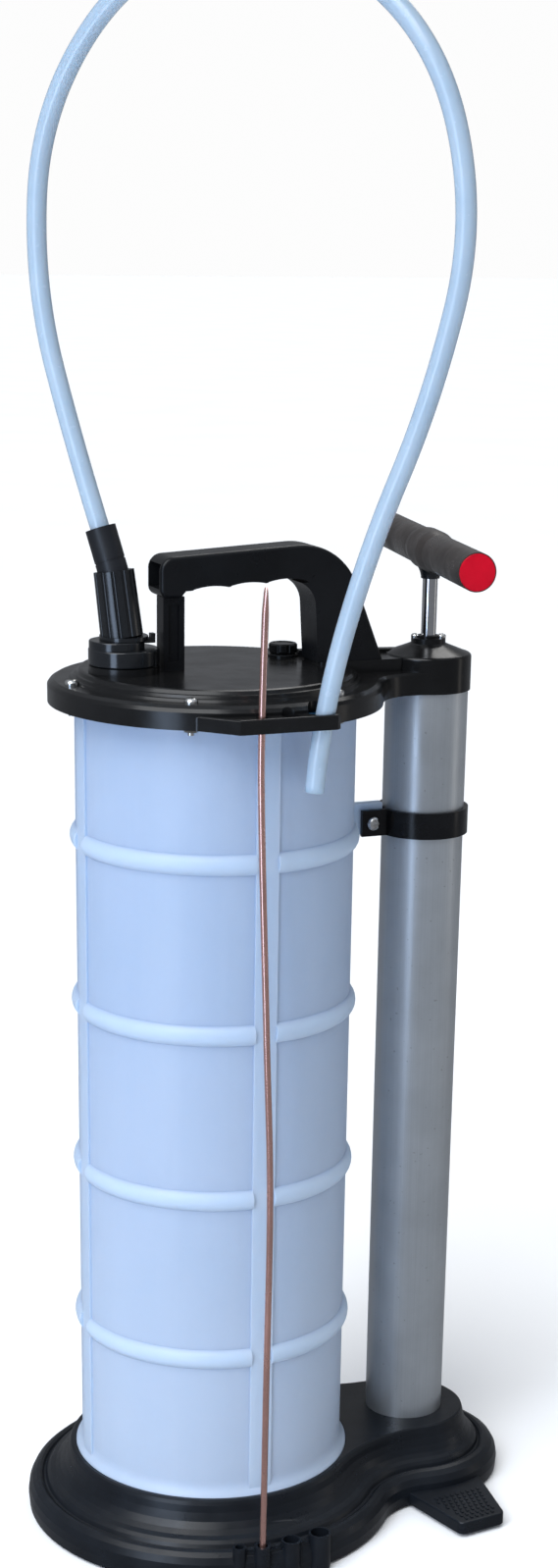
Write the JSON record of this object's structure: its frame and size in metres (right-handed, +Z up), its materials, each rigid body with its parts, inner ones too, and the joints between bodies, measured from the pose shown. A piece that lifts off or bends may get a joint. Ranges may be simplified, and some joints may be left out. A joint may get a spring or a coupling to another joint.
{
  "type": "fluid transfer pump",
  "caption": "Hand-operated vacuum fluid transfer pump: ribbed translucent tank with screwed lid, carry handle and hose, beside a T-handled pump tube on a common base with a foot pedal.",
  "frame": {"origin": "on the floor under the tank's axis, at the rubber feet's undersides", "axes": "+Z up along the tank, +X from the tank's axis to the pump tube's axis, -Y to the front with the holders and the pedal"},
  "size_m": [0.3173, 0.2796, 0.9276],
  "materials": {
    "black_plastic": "semi-gloss moulded",
    "soft_black": "soft satin sleeve",
    "tank_plastic": "translucent natural blow-moulded",
    "hose_plastic": "translucent, smooth",
    "aluminium": "satin, fine drawn lines",
    "chrome": "polished",
    "steel": "zinc plated",
    "copper": "dull drawn copper",
    "rubber": "matt",
    "grip_rubber": "soft foam skin",
    "red_plastic": "satin",
    "white_plastic": "natural moulded"
  },
  "bodies": {
    "body": {"base": "black_plastic", "base_feet": "rubber", "foot_pedal": "black_plastic", "tank": "tank_plastic", "lid": "black_plastic", "lid_gasket": "rubber", "lid_screws": "steel", "lid_nuts": "steel", "carry_handle": "black_plastic", "handle_post": "black_plastic", "handle_screws": "steel", "port_seal": "rubber", "hose_connector": "black_plastic", "hose_boot": "soft_black", "hose": "hose_plastic", "fill_spout": "white_plastic", "vent_seal": "rubber", "float_cage": "white_plastic", "float_seat": "rubber", "pump_tube": "aluminium", "tube_plug": "black_plastic", "plug_o_ring": "rubber", "gland_plate": "black_plastic", "gland_bush": "white_plastic", "rod_seal": "rubber", "gland_screws": "steel", "valve_cage": "white_plastic", "valve_spring": "steel", "clamp_band": "black_plastic", "clamp_screw": "steel", "clamp_nut": "steel"},
    "piston_set": {"piston": "white_plastic", "wear_ring": "white_plastic", "piston_cup": "rubber"},
    "pull_handle": {"piston_rod": "chrome", "piston_nut": "steel", "piston_washer": "steel", "handle_hub": "black_plastic", "grip_core": "steel", "grip_sleeve": "grip_rubber", "end_cap_front": "red_plastic", "end_cap_back": "red_plastic"},
    "collar": {"lock_collar": "black_plastic"},
    "vent": {"vent_plug": "black_plastic"},
    "float": {"float_ball": "white_plastic"},
    "valve": {"inlet_valve": "rubber"},
    "probe": {"probe_tube": "copper"}
  },
  "joints": [
    {"name": "pump_stroke", "type": "slide", "parent": "body", "child": "piston_set", "axis": [0, 0, 1], "range_m": [0, 0.44]},
    {"name": "handle_spin", "type": "hinge", "parent": "piston_set", "child": "pull_handle", "pos_m": [0.1366, 0, 0.3], "axis": [0, 0, 1], "range_deg": [-30, 60]},
    {"name": "collar_turn", "type": "hinge", "parent": "body", "child": "collar", "pos_m": [-0.0565, 0, 0.548], "axis": [0, 0, 1], "range_deg": [0, 40]},
    {"name": "vent_turn", "type": "hinge", "parent": "body", "child": "vent", "pos_m": [0.053, 0.026, 0.54], "axis": [0, 0, 1], "range_deg": [0, 90]},
    {"name": "float_lift", "type": "slide", "parent": "body", "child": "float", "axis": [0, 0, 1], "range_m": [0, 0.016]},
    {"name": "valve_open", "type": "slide", "parent": "body", "child": "valve", "axis": [0, 0, -1], "range_m": [0, 0.0015], "stiffness_N_per_m": 40, "springref_m": -0.002, "deforming": ["valve_spring"]},
    {"name": "probe_lift", "type": "slide", "parent": "body", "child": "probe", "axis": [0, 0, 1], "range_m": [0, 0.03]}
  ]
}
